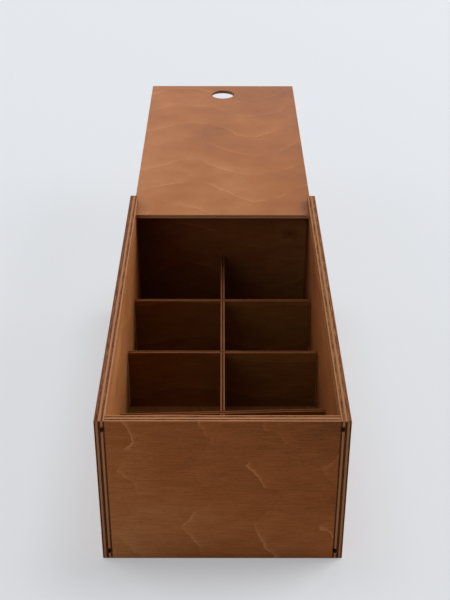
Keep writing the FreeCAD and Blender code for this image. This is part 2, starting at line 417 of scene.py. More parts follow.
    def mesh(self, name: str) -> bpy.types.Mesh:
        """Build the board's mesh with the attributes that its finish reads.

        Args:
            name: Name of the mesh.

        Returns:
            The mesh, in the shared frame.
        """
        square, quads, kinds = self.skin()
        points, crest = self.ease(square)
        for dent in self.dents:
            gap = np.linalg.norm(points - np.array(dent.middle), axis=1)
            share = np.clip(1 - gap / dent.reach, 0, 1)
            inward = np.array((self.low + self.high) / 2 - dent.middle)
            inward[self.grain] = 0.0
            inward /= np.linalg.norm(inward)
            points += inward * (dent.depth * share * (2 - share))[:, None]
            crest = np.where(share > 0, -share, crest)
        centre = (np.array(self.low) + np.array(self.high)) / 2
        place = ((square - centre) / MM)[:, [self.grain, 3 - self.grain - self.faces, self.faces]]
        depth = place[:, 2] * MM / self.thickness + 0.5
        crossed = np.searchsorted(self.plies.glue_lines(), depth) % 2  # plies across the face grain
        sawn = np.zeros((len(points), 3))
        sawn[:, 2] = crest
        cut, squarely, _ = kinds.T
        on_edge = np.abs(squarely - FACE_ON) > 0.1
        for corner in quads.T:
            np.maximum.at(sawn[:, 0], corner, cut)
            np.maximum.at(sawn[:, 1], corner, cut * np.abs(squarely - crossed[corner]) * on_edge)
        mesh = bpy.data.meshes.new(name)
        mesh.from_pydata(points.tolist(), [], quads.tolist())
        for title, domain, rows in ((BOARD, "POINT", place), (SAWN, "POINT", sawn), (CUT, "FACE", kinds)):
            layer = mesh.attributes.new(title, "FLOAT_VECTOR", domain)
            layer.data.foreach_set("vector", rows.astype(np.float32).ravel())
        mesh.polygons.foreach_set("use_smooth", [True] * len(mesh.polygons))
        mesh.set_sharp_from_angle(angle=SHARP_ANGLE)
        return mesh


@dataclass(frozen=True)
class Stain:
    """Colours that one walnut-brown oil stain takes on birch, as sRGB hex."""

    deep: str = "#7F471E"  # face veneer where it took most stain
    body: str = "#9E5A2B"  # face veneer in general
    pale: str = "#BC7C4B"  # growth lines and other dense wood that took little
    long_grain: str = "#AE7750"  # edge of a ply, seen along its fibres
    end_grain: str = "#4C240F"  # edge of a ply, seen on the ends of its fibres, which drink the stain
    glue: str = "#24100A"  # glue line, scorched saw cut, and the painted shade in a dent


@dataclass(frozen=True)
class Figure:
    """Growth-line figure of one rotary-cut face veneer, in millimetres."""

    run: FigureRun = FigureRun.WITH_GRAIN
    spacing: float = 26.0  # from one line to the next
    start: float = 0.37  # where the first one lies at the board's middle, as a share of the spacing
    sway: float = 6.0  # half the width of a line's regular swing
    swing: float = 150.0  # length of one swing
    turn: Swing = Swing.ROUNDED
    phase: float = 0.0  # where along the swing the board's middle lies, in turns
    lag: float = 0.5  # irregular part of the swing, in turns
    lag_size: float = 0.8  # size of its patches, as a share of the swing
    wander: float = 14.0  # half the width of a line's irregular bends
    wander_size: float = 70.0  # size of those bends
    ragged: float = 1.2  # how far a line jumps from one bundle of fibres to the next
    lines: float = 0.3  # how much paler a line is than the wood beside it
    shade: float = 0.1  # how much the wood darkens from one line to the next
    clouds: float = 0.3  # how much the stain's depth varies over a few centimetres
    cloud: tuple[float, float] = (75.0, 45.0)  # size of a cloud along the grain and across it
    patch: tuple[float, float] = (22.0, 9.0)  # size of the smaller patches in the clouds
    patchiness: float = 0.7  # their strength as a share of the clouds'
    fibres: float = 0.3  # how much the stain varies from one bundle of fibres to the next
    painted_paleness: float = 0.0  # painted light and shade: how much paler the whole veneer is drawn than the stain's usual body, for the light that reaches it
    painted_light_drift: tuple[float, float] = (0.0, 0.0)  # painted light and shade: how much paler the veneer is drawn over 100 mm along the grain and across, towards where more light falls
    seed: float = 0.0  # place in the log that the veneer was peeled from


@dataclass(frozen=True)
class Knot:
    """A small dark knot in the lower face of a board, in the board's own millimetres."""

    along: float
    across: float
    radius: float  # across the grain
    squeeze: float = 0.75  # its width as a share of its length
    reach: float = 2.5  # how far it darkens the wood, in radii
    depth: float = 0.34  # how much darker its heart is
    # How dark it is from the heart to the end of that reach.
    rings: Stops = ((0.0, 1.0), (0.22, 0.75), (0.34, 0.35), (0.42, 0.5), (0.8, 0.0))


@dataclass(frozen=True)
class Mottle:
    """Unevenness of one size in the wood, in millimetres."""

    along: float  # size of a patch along the fibres
    across: float  # its size across them
    shift: float  # moves the pattern, so that no two are alike
    detail: float = 1.0  # number of finer octaves
    through: float = 1e4  # its size through the plies, which is past any sheet's unless it is given
    span: tuple[float, float] = (0.0, 1.0)  # levels between which it sets in


# Fibres are some 0.03 mm wide. They are drawn in bundles of 0.8 mm, so that they show.
FIBRES = Mottle(13.0, 0.8, 2.3, detail=3.0)
FLECKS = Mottle(3.4, 0.55, 9.1)
PORES = Mottle(2.6, 0.5, 21.7, span=(0.64, 0.78))
TEETH = Mottle(10.0, 0.9, 15.1, detail=2.0)  # the steps of a ragged growth line
FADING = Mottle(30.0, 30.0, 11.3, span=(0.4, 0.62))  # where a growth line can be seen
STREAKS = Mottle(11.0, 11.0, 13.9, detail=2.0, through=0.7, span=(0.3, 0.66))
CLOTS = Mottle(1.8, 1.8, 17.3, detail=2.0, through=0.5)
RUBBING = Mottle(9.0, 9.0, 31.3, detail=2.0, through=4.0, span=(0.45, 0.65))


@dataclass(frozen=True)
class StainedBirch:
    """Rotary-cut birch plywood, sanded and wiped with a brown oil stain.

    Birch takes stain unevenly: the dense growth lines stay pale, the pores and the ends of the
    fibres turn dark. Oil leaves a satin sheen on the faces and soaks into the saw cuts, which
    stay matt.
    """

    figure: Figure
    stain: Stain = Stain()
    knot: Knot | None = None
    thirst: float = 0.45  # least share of the stain that end grain drinks where an edge was sanded
    end_thirst: float = 0.9  # the same at the board's two ends, where it stays open
    # How dark the edges of the lowest and the highest veneer are from stain that ran over the arris.
    soaked: tuple[float, float] = (0.0, 0.0)
    wear: float = 0.45  # how much of the stain the sanding takes off the arrises
    dent_shade: float = 3.0  # painted shade: how steeply the dent in an arris is darkened from its rim to its middle
    glued: float = 0.6  # how dark a glue line is
    scorched: float = 0.75  # how dark the bit has burnt the wall of a bored hole
    pores: float = 0.22  # how dark the open pores are
    face_roughness: float = 0.46
    fibre_roughness: float = 0.16  # how much it varies from one fibre to the next
    cut_roughness: float = 0.8
    sheen: float = 0.07  # specular level of the oil, which fills the pores only in part
    relief: float = 0.05 * MM  # height of the fibres
    edge_width: float = 0.6  # of a growth line's sharp side, in mm
    # How pale a growth line is behind that side, at places in mm.
    edge: Stops = ((0.7, 0.62), (1.8, 0.22), (5.0, 0.07), (12.0, 0.0))


LONG_WAVES = {"wander": 20.0, "lines": 0.2, "shade": 0.04}
RAW_EDGES = {"thirst": 0.75, "wear": 0.2}  # the insert's edges were sawn and not sanded

# Each board's finish. The sides, the back panel and the insert have stains with less red, partly the sheets'
# own colour and partly painted light: the less red stands in for the neutral light inside the box.
FINISHES = {
    # Each figure's slope of tone below is painted light and shade.
    "left_side": StainedBirch(
        Figure(spacing=37.0, sway=9.0, swing=230.0, **LONG_WAVES, painted_light_drift=(-0.1, 0.0), seed=11.0),
        Stain(deep="#7A4826", body="#945C33", pale="#B47E4F", long_grain="#AA7450"),
        thirst=0.35,
        soaked=(0.7, 0.0),
    ),
    # Painted shade: the right side's veneer is drawn darker, for the shade on its inner face, and its darker
    # stain is partly painted shade too.
    "right_side": StainedBirch(
        Figure(
            **LONG_WAVES, spacing=33.0, sway=7.0, swing=190.0, painted_paleness=-0.2, painted_light_drift=(-0.05, 0.0), seed=23.0
        ),
        Stain(deep="#7A4826", body="#925A31", pale="#AA7448", long_grain="#A27049"),
        thirst=0.15,
        soaked=(0.0, 0.6),
    ),
    "front_panel": StainedBirch(
        Figure(
            FigureRun.ACROSS_GRAIN, spacing=42.0, sway=9.0, swing=46.0, turn=Swing.POINTED, phase=0.1,
            wander_size=26.0, lines=0.46, shade=0.04, clouds=0.24, fibres=0.42, painted_light_drift=(-0.16, -0.26),
            seed=114.0,
        )
    ),
    # Painted light and shade: the back panel is drawn a little darker, and paler towards its right end.
    "back_panel": StainedBirch(
        Figure(
            spacing=38.0, sway=10.0, swing=120.0, lines=0.15, shade=0.05, painted_paleness=-0.02,
            painted_light_drift=(0.12, 0.0), seed=41.0,
        ),
        Stain(deep="#724726", body="#885831", pale="#A7794D"),
        Knot(along=55.5, across=25.5, radius=3.0),
    ),
    "lid": StainedBirch(
        Figure(
            spacing=46.0, start=0.26, sway=17.0, swing=122.0, phase=0.02, lag=0.3, wander=13.0,
            wander_size=55.0, ragged=2.0, lines=0.25, shade=0.04, clouds=0.42, cloud=(60.0, 90.0),
            patch=(26.0, 22.0), fibres=0.11, painted_light_drift=(-0.09, -0.04), seed=8.0,
        ),
        # Painted light: the lid's pale long-grain and end-grain colours stand in for light on its saw cuts,
        # most of all on its front edge.
        Stain(deep="#7F4519", body="#985721", pale="#B37748", long_grain="#D6A67C", end_grain="#B8845A"),
        thirst=0.2,
    ),
    "long_divider": StainedBirch(
        Figure(spacing=40.0, lines=0.15, seed=61.0),
        Stain(deep="#6E471F", body="#885D2E", pale="#A67A48", long_grain="#A06842", end_grain="#3C1D0C"),
        **RAW_EDGES,
    ),
    "bottom": StainedBirch(
        Figure(spacing=36.0, sway=9.0, seed=53.0),
        # Partly painted light: the bottom panel's paler stain stands in for the light that reaches the floors
        # of the compartments from above.
        Stain(deep="#8C5E32", body="#A8743E", pale="#BE8C58", long_grain="#A06842", end_grain="#3C1D0C"),
        **RAW_EDGES,
    ),
    "cross_divider": StainedBirch(
        Figure(spacing=33.0, sway=5.0, lines=0.12, seed=71.0),
        Stain(deep="#694621", body="#825B30", pale="#A07648", long_grain="#985A34", end_grain="#3C1D0C"),
        **RAW_EDGES,
    ),
}


class StainedBoard:
    """The finish of one board, as the nodes of its material."""

    def __init__(self, title: str, board: Board) -> None:
        """Start the material.

        Args:
            title: The board's name in FINISHES.
            board: The board.
        """
        self.finish, self.board = FINISHES[title], board
        self.bare = bpy.data.materials.new(f"stained_birch_{title}")
        self.add = blank_tree(self.bare)
        self.place, self.cuts, self.sawn = (
            self.add("ShaderNodeAttribute", output="Vector", attribute_name=name)
            for name in (BOARD, CUT, SAWN)
        )

    def noise(self, mottle: Mottle) -> Socket:
        """A noise over the board, around 0.5, whose grains have a size of their own along each axis.

        Args:
            mottle: Size and kind of the grains.

        Returns:
            The noise.
        """
        scale = (1 / mottle.along, 1 / mottle.across, 1 / mottle.through)
        seed = self.finish.figure.seed
        start = (mottle.shift, seed, mottle.shift + seed)
        moved = self.add(VECTOR_MATH, (self.place, scale, start), "MULTIPLY_ADD")
        return self.add(NOISE, {"Vector": moved, "Scale": 1.0, "Detail": mottle.detail, "Roughness": 0.55})

    def total(self, base: Socket | float, *parts: tuple[Socket, float], middle: float = 0.5) -> Socket:
        """Add up outputs, each about its middle and times its own weight.

        Args:
            base: What the sum starts from: a number, unless the middle is 0.
            *parts: Outputs and their weights.
            middle: Value of an output that adds nothing.

        Returns:
            The sum.
        """
        if middle:
            base -= middle * sum(weight for _, weight in parts)
        for value, weight in parts:
            base = self.add(MATH, (value, weight, base), "MULTIPLY_ADD")
        return base

    def growth_lines(self) -> tuple[Socket, Socket]:
        """The wavy growth lines of the face veneer.

        Returns:
            The pale lines, 0 to 1, and the way through the band from one line to the next, 0 to 1.
        """
        add, figure = self.add, self.finish.figure
        along, across, _ = add(SPLIT, (self.place,)).node.outputs
        run, step = (along, across) if figure.run is FigureRun.WITH_GRAIN else (across, along)
        bends = self.noise(Mottle(figure.wander_size, figure.wander_size, 3.1, detail=3.0))
        patch = figure.swing * figure.lag_size
        lag = self.noise(Mottle(patch, patch, 7.7))
        late = self.total(figure.phase, (lag, figure.lag))
        turns = add(MATH, (run, 1 / figure.swing, late), "MULTIPLY_ADD")
        if figure.turn is Swing.ROUNDED:
            wave = add(MATH, (add(MATH, (turns, math.tau), "MULTIPLY"),), "SINE")
            wave = add(MATH, (wave, 0.5, 0.5), "MULTIPLY_ADD")
        else:
            wave = add(MATH, (add(MATH, (turns, 0.5), "PINGPONG"), 2.0), "MULTIPLY")
        teeth = self.noise(TEETH)
        swings = ((wave, figure.sway * 2), (bends, figure.wander * 2), (teeth, figure.ragged * 2))
        swung = add(MATH, (step, self.total(0.0, *swings)), "ADD")
        count = add(MATH, (swung, 1 / figure.spacing, figure.start), "MULTIPLY_ADD")
        band = add(MATH, (count,), "FRACT")
        # A growth line is sharp on its late-wood side and fades over a few millimetres behind it.
        behind = [(reach / figure.spacing, tone) for reach, tone in self.finish.edge]
        sharp = ((1.0 - self.finish.edge_width / figure.spacing, 0.0), (1.0, 1.0))
        line = add(RAMP, (band,), stops=((0.0, 1.0), *behind, *sharp))
        seen = add(RANGE, (self.noise(FADING), *FADING.span), "SMOOTHSTEP")
        return add(MATH, (line, seen), "MULTIPLY"), band

    def face(self) -> tuple[Socket, Socket]:
        """The veneer's face.

        Returns:
            Its colour, and its fibres, 0 to 1.
        """
        add, finish, figure, stain = self.add, self.finish, self.finish.figure, self.finish.stain
        line, band = self.growth_lines()
        fibres = self.noise(FIBRES)
        # Painted light and shade: the whole veneer's tone is shifted by its paleness.
        tone = self.total(
            0.5 + figure.painted_paleness,
            (self.noise(Mottle(*figure.cloud, 1.3)), figure.clouds),
            (self.noise(Mottle(*figure.patch, 5.9, detail=2.0)), figure.clouds * figure.patchiness),
            (fibres, figure.fibres),
            (self.noise(FLECKS), figure.fibres / 2),
            (band, -figure.shade),
        )
        # Painted light and shade: a straight slope in the veneer's tone, paler towards where more light
        # falls.
        slope = (figure.painted_light_drift[0] / 100, figure.painted_light_drift[1] / 100, 0.0)
        painted_light_drift = add(VECTOR_MATH, (self.place, slope), "DOT_PRODUCT", "Value")
        pores = add(RANGE, (self.noise(PORES), *PORES.span))
        marks = [(painted_light_drift, 1.0), (line, figure.lines), (pores, -finish.pores)]
        if finish.knot:
            marks.append((self.knot_mark(), -finish.knot.depth))
        tone = self.total(tone, *marks, middle=0.0)
        stops = ((0.0, stain.glue), (0.28, stain.deep), (0.5, stain.body), (0.85, stain.pale))
        return add(RAMP, (tone,), stops=[(at, linear(code)) for at, code in stops]), fibres

    def knot_mark(self) -> Socket:
        """The knot, with a dark heart and a ring round it.

        Returns:
            How dark it is, 0 to 1.
        """
        add, knot = self.add, self.finish.knot
        away = add(VECTOR_MATH, (self.place, (knot.along, knot.across, 0.0)), "SUBTRACT")
        shrink = 1 / (knot.reach * knot.radius)
        away = add(VECTOR_MATH, (away, (knot.squeeze * shrink, shrink, 0.0)), "MULTIPLY")
        rings = add(RAMP, (add(VECTOR_MATH, (away,), "LENGTH", "Value"),), stops=knot.rings)
        lower = add(MATH, (add(SPLIT, (self.place,), output=2), 0.0), "LESS_THAN")
        return add(MATH, (rings, lower), "MULTIPLY")

    def saw_cut(self, squarely: Socket, bored: Socket) -> Socket:
        """The stacked plies that a saw cut lays bare.

        Args:
            squarely: 1 where the cut crosses the face grain, and 0 along it.
            bored: 1 in a bored hole, whose wall the bit has scorched.

        Returns:
            Their colour.
        """
        add, finish, stain = self.add, self.finish, self.finish.stain
        thickness, lines = self.board.thickness, self.board.plies.glue_lines()
        through = add(SPLIT, (self.place,), output=2)
        depth = add(MATH, (through, MM / thickness, 0.5), "MULTIPLY_ADD")
        turns = [(0.0, 0.0), *((line, float(1 - n % 2)) for n, line in enumerate(lines))]
        crossed = add(RAMP, (depth,), stops=turns, blend="CONSTANT")
        end_on = add(MATH, (add(MATH, (squarely, crossed), "SUBTRACT"),), "ABSOLUTE")
        # Sanding along an edge closes some of its end grain, which then drinks less stain.
        uneven = self.total(0.5, (self.noise(STREAKS), 1.0), (self.noise(CLOTS), 0.5))
        least = add(MATH, (squarely, finish.end_thirst - finish.thirst, finish.thirst), "MULTIPLY_ADD")
        drunk = add(RANGE, (uneven, *STREAKS.span, least, 1.0))
        end_on = add(MATH, (end_on, drunk), "MULTIPLY")
        low, high = finish.soaked
        runs = add(RAMP, (depth,), stops=((0.0, low), (lines[0], 0.0), (lines[-1], high)), blend="CONSTANT")
        grain = {0: add(MATH, (end_on, runs), "MAXIMUM"), 6: linear(stain.long_grain)}
        plies = add(MIX, {**grain, 7: linear(stain.end_grain)}, "RGBA", 2)
        half = GLUE_BLUR / thickness
        profile = ((-half, 0.0), (0.0, finish.glued), (half, 0.0))
        stops = [(0.0, 0.0), *((line + step, level) for line in lines for step, level in profile)]
        glue = add(RAMP, (depth,), stops=stops)
        burnt = add(MATH, (bored, finish.scorched), "MULTIPLY")
        dark = add(MATH, (glue, burnt), "MAXIMUM")
        return add(MIX, {0: dark, 6: plies, 7: linear(stain.glue)}, "RGBA", 2)

    def material(self) -> bpy.types.Material:
        """Join the faces, the cuts and the arrises in one finish.

        Returns:
            The material.
        """
        add, finish, stain = self.add, self.finish, self.finish.stain
        cut, squarely, bored = add(SPLIT, (self.cuts,)).node.outputs
        crest = add(SPLIT, (self.sawn,), output=2)
        colour, fibres = self.face()
        # Sanding breaks the stain's skin on the arrises: they are paler in places.
        worn = add(RANGE, (self.noise(RUBBING), *RUBBING.span))
        worn = add(MATH, (worn, crest), "MULTIPLY", use_clamp=True)
        worn = add(MATH, (worn, finish.wear), "MULTIPLY")
        # Painted shade: the dent in the arris is darkened towards its middle with the glue colour.
        dent_shading = add(MATH, (crest, -finish.dent_shade), "MULTIPLY", use_clamp=True)
        edge = self.saw_cut(squarely, bored)
        for share, layer in ((cut, edge), (worn, linear(stain.pale)), (dent_shading, linear(stain.glue))):
            colour = add(MIX, {0: share, 6: colour, 7: layer}, "RGBA", 2)
        satin = self.total(finish.face_roughness, (fibres, finish.fibre_roughness))
        relief = {"Strength": 0.35, "Distance": finish.relief, "Height": fibres}
        coat = {
            "Base Color": colour,
            "Roughness": add(MIX, {0: cut, 2: satin, 3: finish.cut_roughness}, "FLOAT"),
            "Normal": add("ShaderNodeBump", relief),
            "Specular IOR Level": finish.sheen,
        }
        add("ShaderNodeOutputMaterial", {"Surface": add(SURFACE, coat)})
        return self.bare


class GeometryTree:
    """A geometry tree with named inputs, which is run over a mesh once and leaves a plain mesh."""

    def __init__(self, name: str, sockets: dict[str, str]) -> None:
        """Start the tree.

        Args:
            name: Name of the tree.
            sockets: Name and kind of each input besides the geometry and its material.
        """
        self.tree = bpy.data.node_groups.new(name, "GeometryNodeTree")
        face = self.tree.interface
        face.new_socket("Geometry", in_out="OUTPUT", socket_type="NodeSocketGeometry")
        for title, kind in {"Geometry": "Geometry", **sockets, "Material": "Material"}.items():
            face.new_socket(title, in_out="INPUT", socket_type=f"NodeSocket{kind}")
        self.add = partial(add_node, self.tree)
        self.inputs = self.add("NodeGroupInput").node.outputs

    def close(self, geometry: Socket) -> None:
        """End the tree in a plain mesh with its material.

        Args:
            geometry: The finished geometry.
        """
        plain = self.add("GeometryNodeRealizeInstances", (geometry,))
        dressed = {"Geometry": plain, "Material": self.inputs["Material"]}
        self.add("NodeGroupOutput", (self.add("GeometryNodeSetMaterial", dressed),))

    def run(self, mesh: bpy.types.Mesh, name: str, values: dict[str, object]) -> bpy.types.Mesh:
        """Run the tree over a mesh.

        Args:
            mesh: What goes in.
            name: Name of the mesh that comes out.
            values: The inputs under their names.

        Returns:
            The plain mesh that comes out.
        """
        blank = put(f"{name}_blank", mesh)
        modifier = blank.modifiers.new(self.tree.name, "NODES")
        modifier.node_group = self.tree
        for item in self.tree.interface.items_tree:
            if item.name in values:
                modifier[item.identifier] = values[item.name]
        graph = bpy.context.evaluated_depsgraph_get()
        made = bpy.data.meshes.new_from_object(
            blank.evaluated_get(graph), preserve_all_data_layers=True, depsgraph=graph
        )
        blank.modifiers.remove(modifier)
        bpy.data.objects.remove(blank)
        bpy.data.meshes.remove(mesh)
        made.name = name
        return made


class SawnPlies(GeometryTree):
    """Sinks the end grain on saw cuts below the long grain, and leaves the saw's faint ripple."""

    SIZES = {
        "End Grain Sink": 0.10 * MM,  # at most
        "Ripple Height": 0.06 * MM,
        "Ripple Length": 9.0,  # in mm
        "Seed": 4.0,
    }
    RAGGED = {"Scale": 2.2, "Detail": 2.0}  # how unevenly the end grain sinks
    RIPPLE = {"Scale": 1.0, "Detail": 0.0}

    def __init__(self) -> None:
        """Build the tree."""
        super().__init__("sawn_plies", dict.fromkeys(self.SIZES, "Float"))
        add, inputs = self.add, self.inputs
        sawn, place = (add(READ, (name,), "FLOAT_VECTOR") for name in (SAWN, BOARD))
        cut, end_grain, _ = add(SPLIT, (sawn,)).node.outputs
        per_ripple = add(MATH, (1.0, inputs["Ripple Length"]), "DIVIDE")
        spread = add(VECTOR_MATH, {0: place, "Scale": per_ripple}, "SCALE")
        ragged, ripple = (
            add(NOISE, {"Vector": spread, "W": inputs["Seed"], **size}, noise_dimensions="4D")
            for size in (self.RAGGED, self.RIPPLE)
        )
        sink = add(MATH, (inputs["End Grain Sink"], ragged), "MULTIPLY")
        sink = add(MATH, (sink, end_grain), "MULTIPLY")
        wave = add(MATH, (inputs["Ripple Height"], ripple), "MULTIPLY")
        inward = add(MATH, (wave, cut, sink), "MULTIPLY_ADD")
        inward = add(MATH, (inward, -1.0), "MULTIPLY")
        offset = add(VECTOR_MATH, {0: add("GeometryNodeInputNormal"), "Scale": inward}, "SCALE")
        self.close(add("GeometryNodeSetPosition", {"Geometry": inputs["Geometry"], "Offset": offset}))

    def saw(self, title: str, board: Board) -> bpy.types.Mesh:
        """Mesh a board, give its cuts their relief, and stain it.

        Args:
            title: The board's name in FINISHES.
            board: The board.

        Returns:
            The finished mesh.
        """
        stained = {"Material": StainedBoard(title, board).material()}
        return self.run(board.mesh(f"{title}_square"), title, self.SIZES | stained)


class CrossDividerRow(GeometryTree):
    """Repeats one cross divider along the long divider, and turns the first in its slot."""

    VENEER_STEP = 151.0  # mm along the veneer from one divider's face to the next
    ORDER = "order"  # attribute that numbers the dividers

    def __init__(self) -> None:
        """Build the tree."""
        sockets = {"First Place": "Vector", "Pitch": "Float", "Count": "Int", "Skew": "Float"}
        super().__init__("cross_divider_row", sockets)
        add, inputs = self.add, self.inputs
        line = {
            "Count": inputs["Count"],
            "Start Location": inputs["First Place"],
            "Offset": add(JOIN, {1: inputs["Pitch"]}),
        }
        index = add("GeometryNodeInputIndex")
        first = add(MATH, (index, 0.5), "LESS_THAN")
        row = {
            "Points": add("GeometryNodeMeshLine", line),
            "Instance": inputs["Geometry"],
            "Rotation": add(JOIN, {2: add(MATH, (first, inputs["Skew"]), "MULTIPLY")}),
        }
        numbered = {"Geometry": add("GeometryNodeInstanceOnPoints", row), "Name": self.ORDER, "Value": index}
        numbered = add(STORE, numbered, "FLOAT", domain="INSTANCE")
        order = add(READ, (self.ORDER,), "FLOAT")
        along = add(JOIN, (add(MATH, (order, self.VENEER_STEP), "MULTIPLY"),))
        shifted = {
            "Geometry": add("GeometryNodeRealizeInstances", (numbered,)),
            "Name": BOARD,
            "Value": add(VECTOR_MATH, (add(READ, (BOARD,), "FLOAT_VECTOR"), along), "ADD"),
        }
        self.close(add(STORE, shifted, "FLOAT_VECTOR", domain="POINT"))


def fit(name: str, mesh: bpy.types.Mesh, body: str, slot: str, *nodes: str) -> None:
    """Put a finished mesh in the place of its CAD nodes.

    Args:
        name: Name of the piece.
        mesh: Its mesh, in the shared frame.
        body: The body that it rides on.
        slot: The material slot of its finish, which is not used.
        *nodes: The CAD nodes that it stands for.
    """
    piece = put(name, mesh)
    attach(piece, body)
    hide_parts(*nodes)
    LOG.info("%s: %d faces, on %s, for %s", name, len(mesh.polygons), body, ", ".join(nodes))


@dataclass
class Carcass:
    """The four walls: two grooved sides, and a front and a back panel glued between them."""

    sawn: SawnPlies
    groove_depth: float = 3.0 * MM
    groove_height: float = 3.6 * MM
    lid_lift: float = 0.15 * MM  # from the foot of the lid's groove to the lid
    arris: float = 0.4 * MM
    seam: float = 0.12 * MM  # radius of the arrises in the glued joints, which show as a fine line
    bruise_setback: float = 110.0 * MM  # from the back of the right side to the bruise in its arris
    bruise_reach: float = 1.1 * MM
    bruise_depth: float = 0.7 * MM

    def wall(self, node: str, *feet: float) -> Board:
        """One wall, with grooves in its inner face from end to end.

        Args:
            node: The CAD node.
            *feet: Heights of the grooves' feet.

        Returns:
            The board.
        """
        low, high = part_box(node)
        faces, grain = (Axis.X, Axis.Y) if node.endswith("side") else (Axis.Y, Axis.X)
        middle = sum(corner[faces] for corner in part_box("bottom_panel")) / 2
        inner, way = (high[faces], -1) if high[faces] < middle else (low[faces], 1)
        edges = sorted((inner, inner + way * self.groove_depth))
        grooves = []
        for foot in feet:
            start, end = Vector((0, 0, foot)), Vector((0, 0, foot + self.groove_height))
            start[faces], end[faces] = edges
            start[grain], end[grain] = low[grain] - MM, high[grain] + MM
            grooves.append(Block(start, end))
        r, s = self.arris, self.seam
        arrises = {Axis.X: (r,) * 4, Axis.Y: (s,) * 4, Axis.Z: (s,) * 4}
        if faces is Axis.X:
            arrises |= {Axis.Y: (r,) * 4, Axis.Z: (r, s, r, s) if way < 0 else (s, r, s, r)}
        return Board(low, high, faces, grain, FIVE_PLY, arrises, tuple(grooves))

    def build(self) -> None:
        """Build and dress the four walls."""
        floor_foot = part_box("bottom_panel")[0].z
        lid_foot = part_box("lid")[0].z - self.lid_lift
        walls = {node: self.wall(node, lid_foot, floor_foot) for node in ("left_side", "right_side")}
        walls |= {node: self.wall(node, floor_foot) for node in ("front_panel", "back_panel")}
        right = walls["right_side"]
        bruised = right.high - Vector((0, self.bruise_setback, 0))
        right.dents = (Dent(bruised, self.bruise_reach, self.bruise_depth),)
        for node, board in walls.items():
            fit(f"{node}_board", self.sawn.saw(node, board), "box", "stained_wall", node)


@dataclass
class SlidingLid:
    """The lid, a thin sheet whose face grain runs across the box, with a thumb hole."""

    sawn: SawnPlies
    hole_diameter: float = 22.5 * MM
    hole_setback: float = 24.5 * MM  # from the lid's back end to the middle of the hole
    arris: float = 0.25 * MM  # also of the hole's rims

    def build(self) -> None:
        """Build and dress the lid."""
        low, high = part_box("lid")
        middle = (low + high) / 2
        middle.y = high.y - self.hole_setback
        hole = Hole(middle, self.hole_diameter / 2, self.arris)
        arrises = dict.fromkeys(Axis, (self.arris,) * 4)
        board = Board(low, high, Axis.Z, Axis.X, THREE_PLY, arrises, hole=hole)
        fit("sliding_lid", self.sawn.saw("lid", board), "lid", "stained_lid", "lid")


@dataclass
class EggCrate:
    """The bottom panel and the half-lapped dividers that stand on it."""

    sawn: SawnPlies
    row: CrossDividerRow
    slot_play: float = 0.2 * MM  # from a divider's face to the cheek of its slot
    slot_end_play: float = 0.3 * MM  # between the ends of two slots that are slid together
    arris: float = 0.25 * MM  # along the tops of the dividers
    raw_arris: float = 0.1 * MM  # everywhere else
    corner: float = 1.2 * MM  # radius of the dividers' sanded upper corners
    skew: float = math.radians(2.5)  # how far the front cross divider has turned in its slot

    def bottom(self) -> None:
        """Build and dress the bottom panel."""
        arrises = dict.fromkeys(Axis, (self.raw_arris,) * 4)
        board = Board(*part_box("bottom_panel"), Axis.Z, Axis.Y, THREE_PLY, arrises)
        mesh = self.sawn.saw("bottom", board)
        fit("bottom_board", mesh, "box", "stained_insert", "bottom_panel")

    def slot(self, at: Vector, half: tuple[float, float], foot: float, top: float) -> Block:
        """The space of one slot about a crossing, from its foot to its top."""
        x, y = half
        return Block(Vector((at.x - x, at.y - y, foot)), Vector((at.x + x, at.y + y, top)))

    def dividers(self) -> None:
        """Build and dress the long divider and the row of cross dividers."""
        crossings = ("cross_divider_front", "cross_divider_middle", "cross_divider_back")
        places = [(low + high) / 2 for low, high in map(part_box, crossings)]
        low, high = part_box("long_divider")
        height = high.z - low.z  # and a reach that takes a slot right through the sheet
        half = (high.x - low.x) / 2 + self.slot_play
        depth = (height + self.slot_end_play) / 2
        r, s, c = self.arris, self.raw_arris, self.corner
        arrises = {Axis.X: (s, s, c, c), Axis.Y: (s, r, s, r), Axis.Z: (s,) * 4}
        slots = tuple(self.slot(at, (height, half), high.z - depth, high.z + MM) for at in places)
        board = Board(low, high, Axis.X, Axis.Y, THREE_PLY, arrises, slots)
        mesh = self.sawn.saw("long_divider", board)
        fit("long_divider_board", mesh, "box", "stained_insert", "long_divider")

        low, high = (corner - places[1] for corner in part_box(crossings[1]))
        arrises = {Axis.X: (s, s, r, r), Axis.Y: (s, c, s, c), Axis.Z: (r,) * 4}
        slots = (self.slot(Vector(), (half, height), low.z - MM, low.z + depth),)
        board = Board(low, high, Axis.Y, Axis.X, THREE_PLY, arrises, slots)
        mesh = self.sawn.saw("cross_divider", board)
        row = {
            "First Place": places[0],
            "Pitch": (places[-1].y - places[0].y) / (len(places) - 1),
            "Count": len(places),
            "Skew": self.skew,
            "Material": mesh.materials[0],
        }
        mesh = self.row.run(mesh, "cross_dividers", row)
        fit("cross_divider_boards", mesh, "box", "stained_insert", *crossings)


@dataclass(frozen=True)
class SoftBox:
    """A square studio lamp behind a diffuser, pointed at the box."""

    name: str
    azimuth: float  # where it stands, in degrees from straight behind the box round to the right
    elevation: float  # height above the box, in degrees
    power: float  # in watts
    reach: float = 2.6  # distance from the box
    size: float = 2.0  # side of the diffuser

    def hang(self, aim: tuple[float, float, float]) -> None:
        """Hang the lamp.

        Args:
            aim: What it points at.
        """
        data = bpy.data.lights.new(self.name, "AREA")
        data.shape, data.size, data.energy = "SQUARE", self.size, self.power
        lamp = put(self.name, data)
        lamp.visible_camera = False
        lamp.matrix_world = (
            Matrix.Translation(aim)
            @ Matrix.Rotation(math.pi - math.radians(self.azimuth), 4, "Z")
            @ Matrix.Rotation(math.pi / 2 - math.radians(self.elevation), 4, "X")
            @ Matrix.Translation((0.0, 0.0, self.reach))
        )


